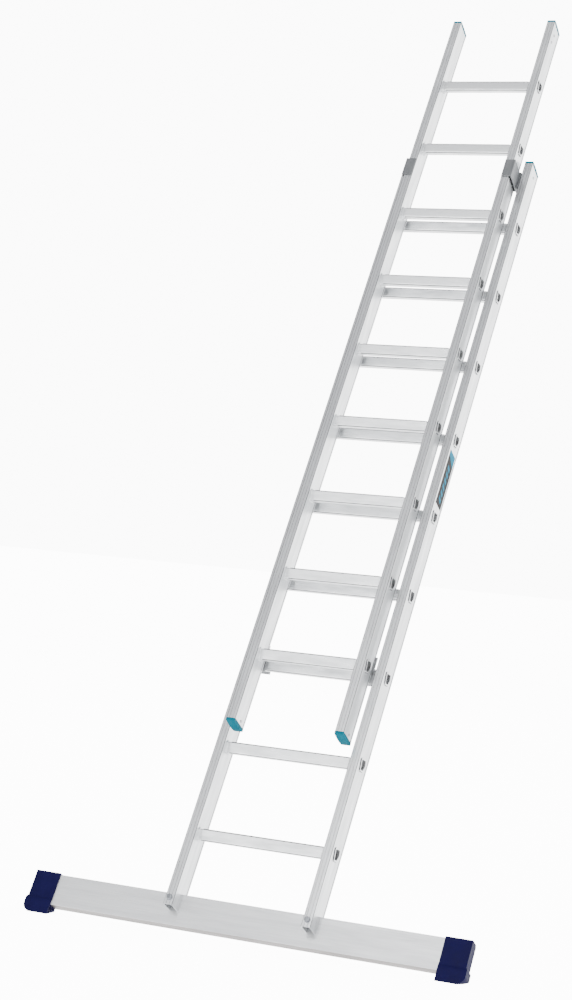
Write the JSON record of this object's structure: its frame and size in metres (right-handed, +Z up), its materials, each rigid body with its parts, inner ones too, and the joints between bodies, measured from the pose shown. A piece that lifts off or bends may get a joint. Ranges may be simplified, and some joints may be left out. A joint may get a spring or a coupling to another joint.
{
  "type": "extension ladder",
  "caption": "Two-section push-up aluminium extension ladder with a wide stabiliser bar, guide brackets, rung hooks and plastic end caps, leaning at its stored pose.",
  "frame": {"origin": "middle of the line where the stabiliser bar's feet stand on the floor, halfway between the stiles", "axes": "+Z up from the floor, +X to the right as seen by the climber, +Y away from the climber towards the wall; the stiles lean 30 degrees from +Z towards +Y"},
  "size_m": [1.204, 1.4856, 2.6646],
  "materials": {
    "stile_aluminium": "mill finish with fine lines along the length",
    "rung_aluminium": "mill finish with fine lines along the length",
    "bar_aluminium": "dull mill finish with fine lines along the length",
    "guide_aluminium": "dull grey, sawn ends",
    "hook_aluminium": "dull grey pressing",
    "zinc_plated_steel": "bright zinc plated",
    "aluminium_rivets": "dull, domed heads",
    "turquoise_plastic": "moulded, fine satin texture",
    "navy_plastic": "moulded, fine satin texture",
    "label": "printed film, dark grey with turquoise stripes"
  },
  "bodies": {
    "base_section": {"base_stile_left": "stile_aluminium", "base_stile_right": "stile_aluminium", "base_rung_1": "rung_aluminium", "base_rung_2": "rung_aluminium", "base_rung_3": "rung_aluminium", "base_rung_4": "rung_aluminium", "base_rung_5": "rung_aluminium", "base_rung_6": "rung_aluminium", "base_rung_7": "rung_aluminium", "base_rung_8": "rung_aluminium", "base_rung_9": "rung_aluminium", "base_cap_left": "turquoise_plastic", "base_cap_right": "turquoise_plastic", "base_cap_rivets": "aluminium_rivets", "guide_bracket_left": "guide_aluminium", "guide_bracket_right": "guide_aluminium", "guide_rivets": "aluminium_rivets", "stabiliser_bar": "bar_aluminium", "bar_foot_left": "navy_plastic", "bar_foot_right": "navy_plastic", "bar_bolts": "zinc_plated_steel", "bar_washers": "zinc_plated_steel", "bar_nuts": "zinc_plated_steel", "bar_sleeves": "zinc_plated_steel", "label_plate": "label"},
    "fly_section": {"fly_stile_left": "stile_aluminium", "fly_stile_right": "stile_aluminium", "fly_rung_1": "rung_aluminium", "fly_rung_2": "rung_aluminium", "fly_rung_3": "rung_aluminium", "fly_rung_4": "rung_aluminium", "fly_rung_5": "rung_aluminium", "fly_rung_6": "rung_aluminium", "fly_rung_7": "rung_aluminium", "fly_rung_8": "rung_aluminium", "fly_rung_9": "rung_aluminium", "fly_cap_left": "turquoise_plastic", "fly_cap_right": "turquoise_plastic", "fly_cap_rivets": "aluminium_rivets", "fly_foot_left": "turquoise_plastic", "fly_foot_right": "turquoise_plastic", "fly_foot_rivets": "aluminium_rivets", "rung_hook_left": "hook_aluminium", "rung_hook_right": "hook_aluminium", "hook_rivets": "aluminium_rivets"}
  },
  "joints": [
    {"name": "fly_slide", "type": "slide", "parent": "base_section", "child": "fly_section", "axis": [0, 0.5, 0.866], "range_m": [-0.5, 1]}
  ]
}
